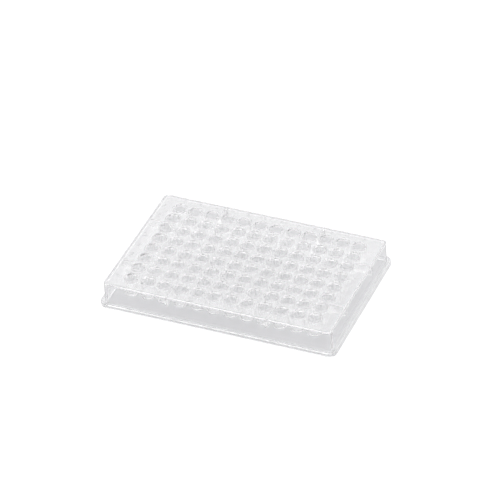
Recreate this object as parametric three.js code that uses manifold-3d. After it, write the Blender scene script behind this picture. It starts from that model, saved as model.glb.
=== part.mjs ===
// A 96-well microplate, moulded as one piece in clear polystyrene.
// Millimetres, +Z up. X runs along the long side and -Y is the front. The origin is the
// middle of the plate on the surface that it stands on.
import * as THREE from 'three';
import { mergeVertices } from 'three/addons/utils/BufferGeometryUtils.js';
import Module from 'manifold-3d';

const wasm = await Module();
wasm.setup();

// The grid of wells
const columnCount = 12;
const rowCount = 8;
const wellPitch = 9;

// One well: a round cup with a flat floor, a little wider at its mouth than at its floor
const wellDepth = 8.4;
const wellMouthRadius = 3.35;
const wellFloorRadius = 3.15;
const wellFloorThickness = 0.75;
const tubeWall = 0.7;
const tubeGroundClearance = 5.2;
const rimHeight = 0.35;

// The deck that carries the wells, and the four walls under its edge
const deckThickness = 1.3;
const endMargin = 12.2;
const sideMargin = 9.7;
const wallThickness = 1.2;
const wallCornerRadius = 1.6;

// The flange round the foot of the walls
const flangeEndOverhang = 2.18;
const flangeSideOverhang = 1.54;
const flangeDrop = 1.2;
const ledgeThickness = 1.2;
const flangeCornerRadius = 3.2;

// The stiffening ribs between the walls and the outer wells
const ribThickness = 1.4;
const ribDepth = 4.5;
const pitchesToFrontRib = 3;
const pitchesToEndRib = 2;

// Facets
const wellSides = 12;
const cornerSegments = 2;

// How far a cutting solid runs past the face that it opens
const cutOverrun = 1;

// Heights and outlines that follow from the sizes above
const plateHeight = tubeGroundClearance + wellFloorThickness + wellDepth;
const deckTop = plateHeight - rimHeight;
const deckUnderside = deckTop - deckThickness;
const flangeHeight = flangeDrop + ledgeThickness;
const wallLength = (columnCount - 1) * wellPitch + 2 * endMargin;
const wallWidth = (rowCount - 1) * wellPitch + 2 * sideMargin;
const plateLength = wallLength + 2 * flangeEndOverhang;
const plateWidth = wallWidth + 2 * flangeSideOverhang;

const clearPolystyrene = new THREE.MeshStandardMaterial({
  name: 'clear_polystyrene',
  color: 0xe4e8ea,
  roughness: 0.12,
  metalness: 0,
  transparent: true,
  opacity: 0.45,
});

// A closed geometry as a solid that can be joined and cut
function solidFrom(geometry) {
  const bare = geometry.clone();
  bare.deleteAttribute('normal');
  bare.deleteAttribute('uv');
  const merged = mergeVertices(bare, 1e-5);
  const mesh = new wasm.Mesh({
    numProp: 3,
    vertProperties: new Float32Array(merged.attributes.position.array),
    triVerts: new Uint32Array(merged.index.array),
  });
  return new wasm.Manifold(mesh);
}

// A solid as a geometry that a mesh can show
function geometryFrom(solid) {
  const mesh = solid.getMesh();
  const geometry = new THREE.BufferGeometry();
  const points = new Float32Array(mesh.vertProperties);
  geometry.setAttribute('position', new THREE.BufferAttribute(points, 3));
  geometry.setIndex(new THREE.BufferAttribute(new Uint32Array(mesh.triVerts), 1));
  geometry.computeVertexNormals();
  return geometry;
}

// The outline of a rectangle with round corners, centred on the origin
function roundedRectangle(length, width, radius) {
  const x = length / 2 - radius;
  const y = width / 2 - radius;
  const outline = new THREE.Shape();
  outline.absarc(x, y, radius, 0, Math.PI / 2, false);
  outline.absarc(-x, y, radius, Math.PI / 2, Math.PI, false);
  outline.absarc(-x, -y, radius, Math.PI, 1.5 * Math.PI, false);
  outline.absarc(x, -y, radius, 1.5 * Math.PI, 2 * Math.PI, false);
  return outline;
}

// An upright block with round corners, between two heights
function block(length, width, radius, bottom, top) {
  const geometry = new THREE.ExtrudeGeometry(roundedRectangle(length, width, radius), {
    depth: top - bottom,
    bevelEnabled: false,
    curveSegments: cornerSegments,
  });
  geometry.translate(0, 0, bottom);
  return solidFrom(geometry);
}

// The same block with its sides moved in by one thickness all round
function innerBlock(length, width, radius, thickness, bottom, top) {
  const innerRadius = Math.max(radius - thickness, 0.5);
  return block(length - 2 * thickness, width - 2 * thickness, innerRadius, bottom, top);
}

// A solid of many-sided rings round the Z axis, given as [radius, height] pairs. The first and
// last rings are closed flat, and the flat sides face the neighbouring wells.
function ringed(rings) {
  const points = [];
  for (const [radius, height] of rings) {
    for (let side = 0; side < wellSides; side += 1) {
      const angle = ((side + 0.5) / wellSides) * 2 * Math.PI;
      points.push(radius * Math.cos(angle), radius * Math.sin(angle), height);
    }
  }
  const faces = [];
  for (let ring = 1; ring < rings.length; ring += 1) {
    const upper = ring * wellSides;
    const lower = upper - wellSides;
    for (let side = 0; side < wellSides; side += 1) {
      const next = (side + 1) % wellSides;
      faces.push(lower + side, lower + next, upper + next);
      faces.push(lower + side, upper + next, upper + side);
    }
  }
  const last = (rings.length - 1) * wellSides;
  for (let side = 2; side < wellSides; side += 1) {
    faces.push(0, side, side - 1);
    faces.push(last, last + side - 1, last + side);
  }
  const geometry = new THREE.BufferGeometry();
  geometry.setAttribute('position', new THREE.Float32BufferAttribute(points, 3));
  geometry.setIndex(faces);
  return solidFrom(geometry);
}

// One well as a cup: a tapered tube hanging through the deck, with a rim that slopes up from the
// deck to the mouth. A ring of points lies where the deck's underside meets the tube.
function cup() {
  const floor = tubeGroundClearance + wellFloorThickness;
  const outerFloorRadius = wellFloorRadius + tubeWall;
  const outerDeckRadius = wellMouthRadius + tubeWall;
  const climb = (deckUnderside - tubeGroundClearance) / (deckTop - tubeGroundClearance);
  return ringed([
    [outerFloorRadius, tubeGroundClearance],
    [outerFloorRadius + (outerDeckRadius - outerFloorRadius) * climb, deckUnderside],
    [outerDeckRadius, deckTop],
    [wellMouthRadius, plateHeight],
    [wellFloorRadius, floor],
  ]);
}

// What opens the deck for a cup: its edge is buried in the middle of the cup's wall
function deckOpening() {
  const radius = wellMouthRadius + tubeWall / 2;
  return ringed([
    [radius, deckUnderside - cutOverrun],
    [radius, deckTop + cutOverrun],
  ]);
}

// The middle of every well
function wellCentres() {
  const centres = [];
  for (let row = 0; row < rowCount; row += 1) {
    for (let column = 0; column < columnCount; column += 1) {
      const x = (column - (columnCount - 1) / 2) * wellPitch;
      const y = ((rowCount - 1) / 2 - row) * wellPitch;
      centres.push([x, y]);
    }
  }
  return centres;
}

// The deck, its four walls and the flange, open underneath
function shell() {
  const flange = block(plateLength, plateWidth, flangeCornerRadius, 0, flangeHeight);
  const walls = block(wallLength, wallWidth, wallCornerRadius, flangeDrop, deckTop);
  const flangeHollow = innerBlock(
    plateLength, plateWidth, flangeCornerRadius, wallThickness, -cutOverrun, flangeDrop,
  );
  const wallHollow = innerBlock(
    wallLength, wallWidth, wallCornerRadius, wallThickness, -cutOverrun, deckUnderside,
  );
  return flange.add(walls).subtract(flangeHollow).subtract(wallHollow);
}

// One upright rib under the deck, between two corners of its plan
function rib(xFrom, xTo, yFrom, yTo) {
  const geometry = new THREE.BoxGeometry(xTo - xFrom, yTo - yFrom, ribDepth + deckThickness / 2);
  const middle = deckUnderside + deckThickness / 2 - (ribDepth + deckThickness / 2) / 2;
  geometry.translate((xFrom + xTo) / 2, (yFrom + yTo) / 2, middle);
  return solidFrom(geometry);
}

// Ribs from the walls to the centre line of the outer wells, midway between two tubes.
// Each is let half its wall's thickness into the wall.
function ribs() {
  const half = ribThickness / 2;
  const wallX = (wallLength - wallThickness) / 2;
  const wallY = (wallWidth - wallThickness) / 2;
  const wellX = ((columnCount - 1) / 2) * wellPitch;
  const wellY = ((rowCount - 1) / 2) * wellPitch;
  const all = [];
  for (const side of [-1, 1]) {
    const x = side * pitchesToFrontRib * wellPitch;
    const y = side * pitchesToEndRib * wellPitch;
    all.push(rib(x - half, x + half, -wallY, -wellY));
    all.push(rib(x - half, x + half, wellY, wallY));
    all.push(rib(-wallX, -wellX, y - half, y + half));
    all.push(rib(wellX, wallX, y - half, y + half));
  }
  return all;
}

// The whole plate: the shell and its ribs, opened for the wells, with the cups joined in
function wellPlate() {
  let solid = shell();
  for (const each of ribs()) {
    solid = solid.add(each);
  }
  const opening = deckOpening();
  const oneCup = cup();
  for (const [x, y] of wellCentres()) {
    solid = solid.subtract(opening.translate([x, y, 0]));
  }
  for (const [x, y] of wellCentres()) {
    solid = solid.add(oneCup.translate([x, y, 0]));
  }
  const mesh = new THREE.Mesh(geometryFrom(solid), clearPolystyrene);
  mesh.name = 'well_plate';
  return mesh;
}

const plate = new THREE.Group();
plate.add(wellPlate());

export default plate;
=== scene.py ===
# Clear 96-well plate: one injection-moulded piece of crystal polystyrene, on a pale floor.
import bmesh
import bpy
import numpy as np
from mathutils import Matrix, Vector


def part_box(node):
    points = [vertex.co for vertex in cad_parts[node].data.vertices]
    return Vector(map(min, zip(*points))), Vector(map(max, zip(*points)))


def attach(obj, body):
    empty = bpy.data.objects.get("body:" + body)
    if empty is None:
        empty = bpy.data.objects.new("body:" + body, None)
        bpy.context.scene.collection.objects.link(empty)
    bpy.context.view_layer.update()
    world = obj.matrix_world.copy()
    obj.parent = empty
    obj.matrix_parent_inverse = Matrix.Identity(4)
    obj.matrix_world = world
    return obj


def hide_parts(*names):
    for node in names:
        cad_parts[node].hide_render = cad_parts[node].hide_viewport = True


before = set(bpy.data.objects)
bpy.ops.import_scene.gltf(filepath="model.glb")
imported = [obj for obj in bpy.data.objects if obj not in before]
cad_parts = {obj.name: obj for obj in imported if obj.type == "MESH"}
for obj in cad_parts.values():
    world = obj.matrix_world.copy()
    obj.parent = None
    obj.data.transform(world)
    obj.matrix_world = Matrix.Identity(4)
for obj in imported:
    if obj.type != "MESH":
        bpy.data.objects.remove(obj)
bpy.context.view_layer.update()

mm = 0.001
print("frame loaded")


def hexToLinear(code):
    # An sRGB hex colour as linear RGB: below 0.04045 divide by 12.92, above ((c + 0.055) / 1.055) ^ 2.4
    srgb = np.array([int(code[i:i + 2], 16) for i in (1, 3, 5)]) / 255
    linear = np.where(srgb <= 0.04045, srgb / 12.92, ((srgb + 0.055) / 1.055) ** 2.4)
    return [float(c) for c in linear] + [1.0]


white = hexToLinear("#ffffff")

# Sizes in mm. The outline and the height come from the frame.
plateBox = np.array(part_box("well_plate")) / mm
plate = {
    "length": plateBox[1][0] - plateBox[0][0],
    "width": plateBox[1][1] - plateBox[0][1],
    "height": plateBox[1][2] - plateBox[0][2],
    "columns": 12,
    "rows": 8,
    "pitch": 9.0,
    "mouthRadius": 3.20,     # inside of a well at its rim
    "floorRadius": 3.05,     # and at its floor
    "wellDepth": 8.4,
    "floorThickness": 0.75,
    "tubeWall": 0.7,
    "rimHeight": 0.35,
    "deckThickness": 1.3,
    "endOverhang": 2.18,     # flange beyond the end walls
    "sideOverhang": 1.54,    # flange beyond the long walls
    "wallThickness": 1.2,
    "flangeDrop": 1.2,       # height of the hollow under the flange's ledge
    "ledgeThickness": 1.2,
    "wallCorner": 2.9,       # radius of the walls' corners outside, seen from above
    "flangeCorner": 4.0,
    "ribThickness": 1.4,
    "ribDepth": 4.5,
    "sidesPerWell": 32,      # a multiple of 8, so that a side's end falls on each cell's corner
}


def gridMiddles(count):
    # The middles of a row of wells along one axis, about the plate's middle
    return (np.arange(count) - (count - 1) / 2) * plate["pitch"]


def roundedPath(corners, sizes):
    # Points and tangents of a path whose corners are rounded: a corner of size t between
    # directions a and b runs from corner - t a to corner + t b as
    # corner - t a (1 - sin s) + t b (1 - cos s), for s from 0 to a quarter turn.
    # A direction is scaled so that its largest component is 1. Each size is the rounding and the
    # steps that it is drawn in.
    corners = np.array(corners, float)
    legs = np.diff(corners, axis=0)
    legs = legs / np.abs(legs).max(axis=1)[:, None]
    points = [corners[:1]]
    tangents = [legs[:1]]
    for corner, before, after, (size, steps) in zip(corners[1:-1], legs[:-1], legs[1:], sizes):
        s = np.linspace(0, np.pi / 2, steps + 1)[:, None]
        points.append(corner - size * before * (1 - np.sin(s)) + size * after * (1 - np.cos(s)))
        tangents.append(before * np.cos(s) + after * np.sin(s))
    points.append(corners[-1:])
    tangents.append(legs[-1:])
    return np.concatenate(points), np.concatenate(tangents)


def gridFaces(rings, around, closed, flip):
    # Quads of a grid of rings by around points, numbered ring by ring
    ring = np.arange(rings - 1)[:, None]
    side = np.arange(around if closed else around - 1)[None, :]
    here = ring * around + side
    beside = ring * around + (side + 1) % around
    quads = np.stack([here, beside, beside + around, here + around], axis=-1).reshape(-1, 4)
    return quads if flip else quads[:, ::-1]


def turnedSurface(profile, tangents, aroundCount, facing):
    # A profile turned about Z: x = r cos t, y = r sin t, z = h, for t round the circle.
    # Its normal is (-h' cos t, -h' sin t, r'), where ' is the slope along the profile.
    t = np.arange(aroundCount) * 2 * np.pi / aroundCount
    r, h = profile[:, :1], profile[:, 1:]
    dr, dh = tangents[:, :1], tangents[:, 1:]
    points = np.stack([r * np.cos(t), r * np.sin(t), h + 0 * t], axis=-1)
    normals = np.stack([-dh * np.cos(t), -dh * np.sin(t), dr + 0 * t], axis=-1) * facing
    return points, normals / np.linalg.norm(normals, axis=-1, keepdims=True)


def squareRing(halfSide, height, aroundCount, facing):
    # A square drawn by angle: the point at angle t lies at halfSide / max(|cos t|, |sin t|)
    t = np.arange(aroundCount) * 2 * np.pi / aroundCount
    reach = halfSide / np.maximum(np.abs(np.cos(t)), np.abs(np.sin(t)))
    points = np.stack([reach * np.cos(t), reach * np.sin(t), height + 0 * t], axis=-1)
    normals = np.zeros_like(points)
    normals[:, 2] = facing
    return points[None], normals[None]


def levels():
    # The plate's heights, from its top down
    top = plate["height"]
    deck = top - plate["rimHeight"]
    floor = top - plate["wellDepth"]
    return {
        "top": top,
        "deck": deck,
        "under": deck - plate["deckThickness"],
        "floor": floor,
        "tubeFoot": floor - plate["floorThickness"],
        "ledge": plate["flangeDrop"] + plate["ledgeThickness"],
    }


wellEdges = {
    "rimLand": 0.54,             # from the mouth to the rim's outer edge
    "floorFillet": (0.40, 3),    # rounding where the wall meets the floor, and its steps
    "mouthRound": (0.34, 4),
    "rimRound": (0.18, 2),
    "rimFoot": (0.12, 1),
    "tubeFootRound": (0.25, 2),
    "tubeRoot": (0.30, 2),       # where the tube meets the deck's underside
    "cellMargin": 0.1,           # flat band between the turned part and the square's sides
}


def wellCells():
    # Every well with its square of deck, above and below. One cell is a turned surface whose last
    # ring is a square, and it is copied to each place of the grid.
    z = levels()
    around = plate["sidesPerWell"]
    half = plate["pitch"] / 2
    mouth, floor, wall = plate["mouthRadius"], plate["floorRadius"], plate["tubeWall"]
    edges = wellEdges
    above = [
        (0, z["floor"]),
        (floor, z["floor"]),
        (mouth, z["top"]),
        (mouth + edges["rimLand"], z["top"]),
        (mouth + wall, z["deck"]),
        (half - edges["cellMargin"], z["deck"]),
    ]
    aboveSizes = [edges["floorFillet"], edges["mouthRound"], edges["rimRound"], edges["rimFoot"]]
    below = [
        (0, z["tubeFoot"]),
        (floor + wall, z["tubeFoot"]),
        (mouth + wall, z["under"]),
        (half - edges["cellMargin"], z["under"]),
    ]
    belowSizes = [edges["tubeFootRound"], edges["tubeRoot"]]
    parts = []
    for corners, sizes, height, facing in ((above, aboveSizes, z["deck"], 1),
                                           (below, belowSizes, z["under"], -1)):
        profile, tangents = roundedPath(corners, sizes)
        points, normals = turnedSurface(profile, tangents, around, facing)
        rim, rimNormals = squareRing(half, height, around, facing)
        points = np.concatenate([points, rim])
        normals = np.concatenate([normals, rimNormals])
        faces = gridFaces(len(points), around, True, facing < 0)
        parts.append((points.reshape(-1, 3), normals.reshape(-1, 3), faces))
    columns, rows = gridMiddles(plate["columns"]), gridMiddles(plate["rows"])
    centres = np.stack(np.meshgrid(columns, rows), axis=-1).reshape(-1, 2)
    centres = np.concatenate([centres, np.zeros((len(centres), 1))], axis=1)
    spread = []
    for points, normals, faces in parts:
        count = len(points)
        allPoints = (points[None] + centres[:, None]).reshape(-1, 3)
        allNormals = np.tile(normals, (len(centres), 1))
        allFaces = (faces[None] + np.arange(len(centres))[:, None, None] * count).reshape(-1, 4)
        spread.append((allPoints, allNormals, allFaces))
    return spread


skirtEdges = {
    "wallDraft": 0.10,           # the walls lean in this far from foot to top
    "wallCornerInside": 1.7,     # radius of the walls' corners inside, seen from above
    "cornerSteps": 8,
    "deckEdge": (0.60, 4),       # rounding of the deck's outer edge, and its steps
    "wallFoot": (0.35, 3),
    "flangeTop": (0.30, 3),
    "flangeFoot": (0.18, 2),
    "ledgeInside": (0.25, 2),
    "wallInside": (0.30, 2),
    "deckInside": (0.50, 3),
}


def stationRows(angles, middle, free, place):
    # Seven values for each place on one side or corner: its angle, the signs in X and Y of the side
    # or corner that it is on, whether X and Y follow the profile, and the place that they keep if not
    rows = np.zeros((len(angles), 7))
    rows[:, 0] = angles
    rows[:, 1:3] = np.sign(np.round([np.cos(middle), np.sin(middle)], 6))
    rows[:, 3:5] = free
    rows[:, 5:7] = place
    return rows


def skirtStations(gridX, gridY):
    # Places round the plate, anticlockwise from the right end's front. Along a side they line up
    # with the points of the wells' squares, and a corner is an arc of a quarter turn.
    t = np.radians(np.linspace(-45, 45, plate["sidesPerWell"] // 4 + 1))[:-1]
    step = plate["pitch"] / 2 * np.tan(t)
    alongX = np.append((gridMiddles(plate["columns"])[:, None] + step).ravel(), gridX)
    alongY = np.append((gridMiddles(plate["rows"])[:, None] + step).ravel(), gridY)
    arc = np.radians(np.linspace(0, 90, skirtEdges["cornerSteps"] + 1))
    stations = []
    for turn, along, free in ((0, alongY, (1, 0)), (90, -alongX, (0, 1)),
                              (180, -alongY, (1, 0)), (270, alongX, (0, 1))):
        angle = np.radians(turn)
        place = along[:, None] * (1 - np.array(free))
        stations.append(stationRows(np.full(len(along), angle), angle, free, place))
        stations.append(stationRows(angle + arc, angle + np.pi / 4, (1, 1), 0))
    return np.concatenate(stations)


def skirt():
    # The deck's margin, the walls and the flange as one profile carried round the plate. At angle a
    # of a corner, x = sx (hx - r) + r cos a and y = sy (hy - r) + r sin a, where hx, hy and r are the
    # half length, half width and corner radius of the profile's point. Along a side x or y is the
    # place on the side instead. The normal is the profile's slope crossed with the way round.
    z = levels()
    e = skirtEdges
    gridX = plate["columns"] * plate["pitch"] / 2
    gridY = plate["rows"] * plate["pitch"] / 2
    flangeX, flangeY = plate["length"] / 2, plate["width"] / 2
    footX, footY = flangeX - plate["endOverhang"], flangeY - plate["sideOverhang"]
    wallX, wallY = footX - e["wallDraft"], footY - e["wallDraft"]
    outside, inside = plate["wallCorner"], e["wallCornerInside"]
    flange, t = plate["flangeCorner"], plate["wallThickness"]
    corners = [
        (gridX, gridY, 0, z["deck"]),
        (wallX - outside, wallY - outside, 0, z["deck"]),
        (wallX, wallY, outside, z["deck"]),
        (footX, footY, outside, z["ledge"]),
        (flangeX, flangeY, flange, z["ledge"]),
        (flangeX, flangeY, flange, 0),
        (flangeX - t, flangeY - t, flange - t, 0),
        (flangeX - t, flangeY - t, flange - t, plate["flangeDrop"]),
        (footX - t, footY - t, inside, plate["flangeDrop"]),
        (wallX - t, wallY - t, inside, z["under"]),
        (gridX, gridY, 0, z["under"]),
    ]
    sizes = [(0.0, 1), e["deckEdge"], e["wallFoot"], e["flangeTop"], e["flangeFoot"], e["flangeFoot"],
             e["ledgeInside"], e["wallInside"], e["deckInside"]]
    profile, tangents = roundedPath(corners, sizes)
    hx, hy, r, height = [profile[:, k:k + 1] for k in range(4)]
    dhx, dhy, dr, dz = [tangents[:, k:k + 1] for k in range(4)]
    a, sx, sy, freeX, freeY, placeX, placeY = skirtStations(gridX, gridY).T
    x = placeX + freeX * (sx * (hx - r) + r * np.cos(a))
    y = placeY + freeY * (sy * (hy - r) + r * np.sin(a))
    points = np.stack([x, y, height + 0 * a], axis=-1)
    slope = np.stack([freeX * (sx * (dhx - dr) + dr * np.cos(a)),
                      freeY * (sy * (dhy - dr) + dr * np.sin(a)), dz + 0 * a], axis=-1)
    wayRound = np.stack([-np.sin(a), np.cos(a), 0 * a], axis=-1)[None]
    normals = np.cross(slope, np.broadcast_to(wayRound, slope.shape))
    normals = normals / np.linalg.norm(normals, axis=-1, keepdims=True)
    faces = gridFaces(len(profile), len(a), True, False)
    return points.reshape(-1, 3), normals.reshape(-1, 3), faces


welding = {
    "stepsPerMm": 1000,          # points in the same step become one
    "shift": 0.37,               # of a step, so that round sizes lie clear of a step's edge
}


def weld(parts):
    # Join surfaces into one: points in the same step become one, and a quad that has lost a corner
    # becomes a triangle
    offset = 0
    points, normals, faces = [], [], []
    for p, n, f in parts:
        points.append(p)
        normals.append(n)
        faces.append(f + offset)
        offset += len(p)
    points, normals, faces = [np.concatenate(each) for each in (points, normals, faces)]
    keys = np.round(points * welding["stepsPerMm"] + welding["shift"]).astype(np.int64)
    _, first, inverse = np.unique(keys, axis=0, return_index=True, return_inverse=True)
    faces = inverse.reshape(-1)[faces]
    same = faces == np.roll(faces, -1, axis=1)
    lost = same.sum(axis=1)
    quads = faces[lost == 0]
    pinched = faces[lost == 1]
    keep = ~same[lost == 1]
    triangles = pinched[keep].reshape(-1, 3)
    return points[first], normals[first], quads, triangles


def meshFrom(name, points, quads, triangles):
    # A mesh from arrays, in metres
    mesh = bpy.data.meshes.new(name)
    mesh.vertices.add(len(points))
    mesh.vertices.foreach_set("co", (points * mm).astype(np.float32).ravel())
    corners = np.concatenate([quads.ravel(), triangles.ravel()]).astype(np.int32)
    sizes = np.concatenate([np.full(len(quads), 4), np.full(len(triangles), 3)])
    starts = np.concatenate([[0], np.cumsum(sizes)[:-1]]).astype(np.int32)
    mesh.loops.add(len(corners))
    mesh.loops.foreach_set("vertex_index", corners)
    mesh.polygons.add(len(sizes))
    mesh.polygons.foreach_set("loop_start", starts)
    mesh.update(calc_edges=True)
    mesh.validate()
    return mesh


def keepNormals(mesh, vertexNormals=None):
    # Store the wanted normals, so that they live through a join: by vertex if given, else by face
    if vertexNormals is None:
        faceNormals = np.zeros(len(mesh.polygons) * 3)
        mesh.polygons.foreach_get("normal", faceNormals)
        sizes = np.zeros(len(mesh.polygons), np.int32)
        mesh.polygons.foreach_get("loop_total", sizes)
        wanted = np.repeat(faceNormals.reshape(-1, 3), sizes, axis=0)
    else:
        index = np.zeros(len(mesh.loops), np.int32)
        mesh.loops.foreach_get("vertex_index", index)
        wanted = vertexNormals[index]
    layer = mesh.attributes.new("wantedNormal", "FLOAT_VECTOR", "CORNER")
    layer.data.foreach_set("vector", wanted.astype(np.float32).ravel())


def solidFrom(name, points, faces):
    # A small closed solid in mm. Every corner takes its face's own normal.
    mesh = bpy.data.meshes.new(name)
    mesh.from_pydata(np.asarray(points) * mm, [], faces)
    mesh.update()
    keepNormals(mesh)
    piece = bpy.data.objects.new(name, mesh)
    bpy.context.scene.collection.objects.link(piece)
    return piece


ribs = {
    "pitchesToFront": 3,         # the front and back ribs stand this many pitches from the middle
    "pitchesToEnd": 2,           # and the end ribs this many
    "edgeRound": 0.3,            # rounding of the two lower edges
    "steps": 4,
}


def ribSolid(name, start, end):
    # A rib from one place of the plan to another: its cross-section is an upright bar with two round
    # lower edges, (h - e + e sin s, low + e - e cos s) for s over a quarter turn, and its mirror image
    z = levels()
    half, e = plate["ribThickness"] / 2, ribs["edgeRound"]
    low, high = z["under"] - plate["ribDepth"], z["under"] + plate["deckThickness"] / 2
    s = np.linspace(0, np.pi / 2, ribs["steps"] + 1)
    side = np.stack([half - e + e * np.sin(s), low + e - e * np.cos(s)], axis=-1)
    section = np.concatenate([side, [[half, high]], [[-half, high]], side[::-1] * [-1, 1]])
    start, end = np.array(start, float), np.array(end, float)
    along = (end - start) / np.linalg.norm(end - start)
    across = np.array([along[1], -along[0]])
    count = len(section)
    rings = [np.column_stack([place + section[:, :1] * across, section[:, 1]]) for place in (start, end)]
    here = np.arange(count)
    beside = (here + 1) % count
    faces = np.stack([here, here + count, beside + count, beside], axis=-1).tolist()
    faces += [here.tolist(), (here + count)[::-1].tolist()]
    return solidFrom(name, np.concatenate(rings), faces)


def ribSolids():
    # From the middle of each wall to the centre line of the outer wells, midway between two tubes
    wallX = plate["length"] / 2 - plate["endOverhang"] - plate["wallThickness"] / 2
    wallY = plate["width"] / 2 - plate["sideOverhang"] - plate["wallThickness"] / 2
    wellX = (plate["columns"] - 1) / 2 * plate["pitch"]
    wellY = (plate["rows"] - 1) / 2 * plate["pitch"]
    x, y = ribs["pitchesToFront"] * plate["pitch"], ribs["pitchesToEnd"] * plate["pitch"]
    made = []
    for along in (-1, 1):
        for side in (-1, 1):
            made.append(ribSolid("rib", (along * x, side * wallY), (along * x, side * wellY)))
            made.append(ribSolid("rib", (side * wallX, along * y), (side * wellX, along * y)))
    return made


marks = {
    "relief": 0.12,              # how far the letters stand above the deck
    "sunk": 0.10,                # and how far their roots go into it
    "letterHeight": 3.0,
    "numberHeight": 2.2,
    "capitalShare": 0.7,         # a capital's height as a share of the font's size
    "curveSteps": 4,
    "sameMm": 1e-5,              # points of an outline closer than this are one
    "letterX": -57.4,
    "numberY": 38.1,
    "gate": (57.9, 6.9, 2.0, 0.08),   # the gate's mark: its place, radius and relief
    "gateSides": 48,
    "gateEdge": 0.04,            # the slope round the gate's mark
}


def textSolid(text, height, middle):
    # A raised letter or number, turned into a mesh and centred on its place on the deck
    curve = bpy.data.curves.new("mark", "FONT")
    curve.body = text
    curve.size = height / marks["capitalShare"]
    curve.align_x, curve.align_y = "CENTER", "CENTER"
    curve.extrude = (marks["relief"] + marks["sunk"]) / 2
    curve.resolution_u = marks["curveSteps"]
    source = bpy.data.objects.new("mark", curve)
    bpy.context.scene.collection.objects.link(source)
    bpy.context.view_layer.update()
    mesh = bpy.data.meshes.new_from_object(source.evaluated_get(bpy.context.evaluated_depsgraph_get()))
    bpy.data.objects.remove(source)
    shape = bmesh.new()
    shape.from_mesh(mesh)
    bmesh.ops.remove_doubles(shape, verts=shape.verts, dist=marks["sameMm"])
    bmesh.ops.recalc_face_normals(shape, faces=shape.faces)
    shape.to_mesh(mesh)
    shape.free()
    flat = np.zeros(len(mesh.vertices) * 3)
    mesh.vertices.foreach_get("co", flat)
    points = flat.reshape(-1, 3)
    centre = (points.min(axis=0) + points.max(axis=0)) / 2
    height = levels()["deck"] + (marks["relief"] - marks["sunk"]) / 2
    points = points - centre + [middle[0], middle[1], height]
    return solidFrom("mark", points, [list(p.vertices) for p in mesh.polygons])


def gateSolid():
    # The low round mark that the mould's gate leaves: a disc with a sloping edge, r cos t and r sin t
    x, y, radius, relief = marks["gate"]
    sides, edge, deck = marks["gateSides"], marks["gateEdge"], levels()["deck"]
    t = np.arange(sides) * 2 * np.pi / sides
    rings = [(radius, deck - marks["sunk"]), (radius, deck + relief - edge), (radius - edge, deck + relief)]
    points = [np.column_stack([x + r * np.cos(t), y + r * np.sin(t), h + 0 * t]) for r, h in rings]
    faces = gridFaces(len(rings), sides, True, True).tolist()
    bottom = np.arange(sides)
    faces += [bottom[::-1].tolist(), (bottom + sides * (len(rings) - 1)).tolist()]
    return solidFrom("gate", np.concatenate(points), faces)


def markSolids():
    # A to H beside the rows, 1 to 12 behind the columns, and the gate's mark
    made = [gateSolid()]
    for row, y in enumerate(gridMiddles(plate["rows"])[::-1]):
        made.append(textSolid(chr(ord("A") + row), marks["letterHeight"], (marks["letterX"], y)))
    for column, x in enumerate(gridMiddles(plate["columns"])):
        made.append(textSolid(str(column + 1), marks["numberHeight"], (x, marks["numberY"])))
    return made


farCosine = 0.5                  # normals more than 60 degrees apart count as far apart


def joinTo(piece, solids):
    # Join solids to a piece and give every corner the normal that was wanted for it, or its face's
    # own normal where the two are far apart
    group = bpy.data.collections.new("joined")
    for solid in solids:
        group.objects.link(solid)
    join = piece.modifiers.new("join", "BOOLEAN")
    join.operation = "UNION"
    join.solver = "MANIFOLD"
    join.operand_type = "COLLECTION"
    join.collection = group
    mesh = bpy.data.meshes.new_from_object(piece.evaluated_get(bpy.context.evaluated_depsgraph_get()))
    piece.modifiers.clear()
    piece.data = mesh
    for solid in solids:
        bpy.data.objects.remove(solid)
    bpy.data.collections.remove(group)
    sizes = np.zeros(len(mesh.polygons), np.int32)
    mesh.polygons.foreach_get("loop_total", sizes)
    own = np.zeros(len(mesh.polygons) * 3)
    mesh.polygons.foreach_get("normal", own)
    own = np.repeat(own.reshape(-1, 3), sizes, axis=0)
    wanted = np.zeros(len(mesh.loops) * 3)
    mesh.attributes["wantedNormal"].data.foreach_get("vector", wanted)
    wanted = wanted.reshape(-1, 3)
    length = np.linalg.norm(wanted, axis=1, keepdims=True)
    wanted = wanted / np.maximum(length, 1e-9)
    far = (wanted * own).sum(axis=1) < farCosine
    print("joined:", int(far.sum()), "corners of", len(far), "take their face's normal")
    wanted[far] = own[far]
    mesh.attributes.remove(mesh.attributes["wantedNormal"])
    mesh.shade_smooth()
    mesh.normals_split_custom_set(wanted.tolist())


def addNode(tree, kind, settings=None, links=None):
    # A node with its settings and its links. A socket goes by its name or number, a property by name.
    node = tree.nodes.new(kind)
    for name, value in (settings or {}).items():
        if isinstance(name, int) or name in node.inputs:
            node.inputs[name].default_value = value
        else:
            setattr(node, name, value)
    for name, source in (links or {}).items():
        tree.links.new(source, node.inputs[name])
    return node


plastic = {
    "ior": 1.59,
    "polished": 0.05,            # roughness of the outside and of the deck's top
    "satin": 0.24,               # roughness of the tubes and of the deck's underside
    "satinBox": (60.0, 39.5, 13.3),   # satin nearer than this to the middle in X and Y, and lower in Z
    "tint": "#c4c5c9",           # what is left of white light, by the density below
    "density": 4.0,              # per metre
}


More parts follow.
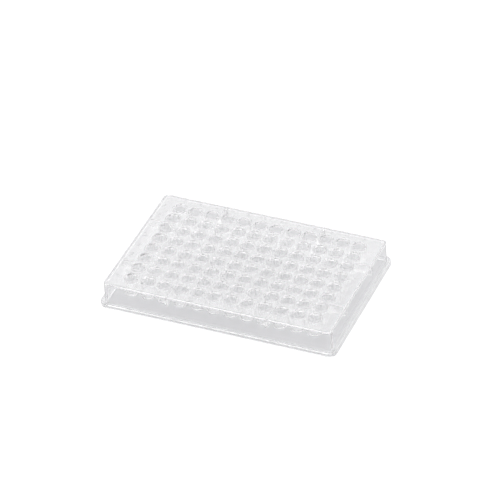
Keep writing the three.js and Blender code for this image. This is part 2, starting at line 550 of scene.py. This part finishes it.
def clearMouldedPolystyrene():
    # Crystal polystyrene, injection moulded: water clear, with a high index, so its edges are bright
    # and its flats glossy. The outside is from a polished mould, and the pins that form the tubes
    # leave a satin skin that softens what is seen through them.
    material = bpy.data.materials.new("clearMouldedPolystyrene")
    material.use_nodes = True
    tree = material.node_tree
    tree.nodes.clear()
    where = addNode(tree, "ShaderNodeTexCoord").outputs["Object"]
    axes = addNode(tree, "ShaderNodeSeparateXYZ", {}, {"Vector": where}).outputs
    within = []
    for axis, limit in zip("XYZ", plastic["satinBox"]):
        size = addNode(tree, "ShaderNodeMath", {"operation": "ABSOLUTE"}, {0: axes[axis]})
        within.append(addNode(tree, "ShaderNodeMath", {
            "operation": "LESS_THAN", 1: limit * mm}, {0: size.outputs[0]}).outputs[0])
    inPlan = addNode(tree, "ShaderNodeMath", {"operation": "MULTIPLY"}, {0: within[0], 1: within[1]})
    inside = addNode(tree, "ShaderNodeMath", {"operation": "MULTIPLY"}, {0: inPlan.outputs[0], 1: within[2]})
    roughness = addNode(tree, "ShaderNodeMapRange", {
        "To Min": plastic["polished"], "To Max": plastic["satin"]}, {"Value": inside.outputs[0]})
    shader = addNode(tree, "ShaderNodeBsdfPrincipled", {
        "Base Color": white,
        "IOR": plastic["ior"],
        "Transmission Weight": 1.0,
    }, {"Roughness": roughness.outputs["Result"]})
    haze = addNode(tree, "ShaderNodeVolumeAbsorption", {
        "Color": hexToLinear(plastic["tint"]), "Density": plastic["density"]})
    addNode(tree, "ShaderNodeOutputMaterial", {}, {
        "Surface": shader.outputs["BSDF"], "Volume": haze.outputs["Volume"]})
    return material


def buildPlate():
    points, normals, quads, triangles = weld(wellCells() + [skirt()])
    mesh = meshFrom("clearPlate", points, quads, triangles)
    keepNormals(mesh, normals)
    piece = bpy.data.objects.new("clearPlate", mesh)
    bpy.context.scene.collection.objects.link(piece)
    joinTo(piece, ribSolids() + markSolids())
    piece.data.materials.clear()
    piece.data.materials.append(clearMouldedPolystyrene())
    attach(piece, "root")
    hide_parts("well_plate")
    print("plate built:", len(piece.data.polygons), "faces")


studio = {
    "floorSize": 6.0,            # metres
    "floorGap": 0.00005,         # the floor lies this far under the plate's foot
    "floorColour": "#fafafa",    # as the camera sees it
    "floorThroughPaintedShade": "#e2e2e4",   # painted shade: the floor as the plate shows it, darker, standing in for the plate's shadow on it
    "floorPaintedGlow": 0.20,           # painted light: a glow that only the camera sees, which washes out the plate's shadow on the floor
    "roomLevel": 0.50,           # brightness of the room overhead
    "horizonGlow": 1.25,         # added at the horizon, gone at the height below
    "glowHeight": 0.72,          # sine of the elevation
    "panels": [                  # soft panels: direction, half width in degrees, softness, brightness
        ((0.0, 0.0, 1.0), 24, 14, 1.0),
        ((-0.32, 0.73, 0.60), 20, 10, 0.95),
    ],
}


def whitePaperPaintedShadeAndGlow():
    # A roll of matt backdrop paper with no gloss at all, carrying painted shade and painted light: the floor
    # that the plate shows is darker than the floor beside it, standing in for the plate's shadow, and a glow
    # that only the camera sees keeps the plate standing on an even white
    material = bpy.data.materials.new("whitePaperPaintedShadeAndGlow")
    material.use_nodes = True
    tree = material.node_tree
    tree.nodes.clear()
    # Painted shade and light by ray type: rays through the plate see the darker floor, the camera sees the
    # pale floor and its glow
    seen = addNode(tree, "ShaderNodeLightPath").outputs["Is Camera Ray"]
    colour = addNode(tree, "ShaderNodeMix", {
        "data_type": "RGBA",
        6: hexToLinear(studio["floorThroughPaintedShade"]),
        7: hexToLinear(studio["floorColour"]),
    }, {"Factor": seen})
    glow = addNode(tree, "ShaderNodeMath", {"operation": "MULTIPLY", 1: studio["floorPaintedGlow"]}, {0: seen})
    shader = addNode(tree, "ShaderNodeBsdfPrincipled", {
        "Roughness": 1.0,
        "Specular IOR Level": 0.0,
        "Emission Color": white,
    }, {"Base Color": colour.outputs[2], "Emission Strength": glow.outputs[0]})
    addNode(tree, "ShaderNodeOutputMaterial", {}, {"Surface": shader.outputs["BSDF"]})
    return material


def buildFloor():
    size = studio["floorSize"] / 2
    mesh = bpy.data.meshes.new("floor")
    z = -studio["floorGap"]
    mesh.from_pydata([(-size, -size, z), (size, -size, z), (size, size, z), (-size, size, z)], [],
                     [(0, 1, 2, 3)])
    floor = bpy.data.objects.new("floor", mesh)
    bpy.context.scene.collection.objects.link(floor)
    mesh.materials.append(whitePaperPaintedShadeAndGlow())
    print("floor built")


def buildRoom():
    # A pale room, brightest at the horizon, with soft panels: a panel's light falls off with the
    # angle from its middle
    world = bpy.data.worlds.new("paleRoom")
    bpy.context.scene.world = world
    world.use_nodes = True
    tree = world.node_tree
    tree.nodes.clear()
    where = addNode(tree, "ShaderNodeTexCoord").outputs["Generated"]
    height = addNode(tree, "ShaderNodeSeparateXYZ", {}, {"Vector": where}).outputs["Z"]
    total = addNode(tree, "ShaderNodeMapRange", {
        "interpolation_type": "SMOOTHSTEP", "From Min": 0.0, "From Max": studio["glowHeight"],
        "To Min": studio["roomLevel"] + studio["horizonGlow"], "To Max": studio["roomLevel"],
    }, {"Value": height}).outputs["Result"]
    for direction, halfWidth, softness, brightness in studio["panels"]:
        unit = np.array(direction) / np.linalg.norm(direction)
        closeness = addNode(tree, "ShaderNodeVectorMath", {
            "operation": "DOT_PRODUCT", 1: unit.tolist()}, {0: where})
        falloff = addNode(tree, "ShaderNodeMapRange", {
            "interpolation_type": "SMOOTHSTEP",
            "From Min": float(np.cos(np.radians(halfWidth + softness))),
            "From Max": float(np.cos(np.radians(max(halfWidth - softness, 0)))),
            "To Min": 0.0, "To Max": brightness,
        }, {"Value": closeness.outputs["Value"]})
        total = addNode(tree, "ShaderNodeMath", {"operation": "ADD"}, {
            0: total, 1: falloff.outputs["Result"]}).outputs[0]
    light = addNode(tree, "ShaderNodeBackground", {"Color": white}, {"Strength": total})
    addNode(tree, "ShaderNodeOutputWorld", {}, {"Surface": light.outputs["Background"]})
    print("room built")


camera = {
    "azimuth": 23.265,            # degrees towards +X from the front
    "elevation": 37.133,
    "roll": -2.29,
    "distance": 1.8611,
    "lens": 262.9,
    "aimRight": 0.001661,         # the aim, in metres right of and above the plate's foot
    "aimUp": 0.017096,
    "clipEnd": 20,                # metres, past the floor's far edge
}


def buildCamera():
    # The camera stands back from the plate's foot along azimuth and elevation, with its right and up
    # turned by the roll, and looks at the aim
    az, el, roll = np.radians([camera["azimuth"], camera["elevation"], camera["roll"]])
    back = np.array([np.sin(az) * np.cos(el), -np.cos(az) * np.cos(el), np.sin(el)])
    right = np.array([np.cos(az), np.sin(az), 0])
    up = np.cross(back, right)
    turnedRight = right * np.cos(roll) + up * np.sin(roll)
    turnedUp = up * np.cos(roll) - right * np.sin(roll)
    position = back * camera["distance"]
    aim = turnedRight * camera["aimRight"] + turnedUp * camera["aimUp"]
    away = (position - aim) / np.linalg.norm(position - aim)
    sideways = np.cross(turnedUp, away)
    sideways = sideways / np.linalg.norm(sideways)
    upright = np.cross(away, sideways)
    data = bpy.data.cameras.new("camera")
    data.lens = camera["lens"]
    data.clip_end = camera["clipEnd"]
    view = bpy.data.objects.new("camera", data)
    bpy.context.scene.collection.objects.link(view)
    matrix = np.eye(4)
    matrix[:3] = np.stack([sideways, upright, away, position], axis=1)
    view.matrix_world = Matrix(matrix.tolist())
    bpy.context.scene.camera = view
    print("camera set")


buildCamera()
buildPlate()
buildFloor()
buildRoom()

# A ray crosses dozens of clear faces before it leaves the plate, so the limits are high
scene = bpy.context.scene
scene.view_settings.view_transform = "Standard"
scene.cycles.max_bounces = 64
scene.cycles.transmission_bounces = 64
scene.cycles.glossy_bounces = 32
scene.cycles.transparent_max_bounces = 32
scene.cycles.caustics_refractive = True
scene.cycles.caustics_reflective = True
scene.cycles.blur_glossy = 0.0
scene.cycles.sample_clamp_indirect = 0.0
scene.cycles.use_denoising = True
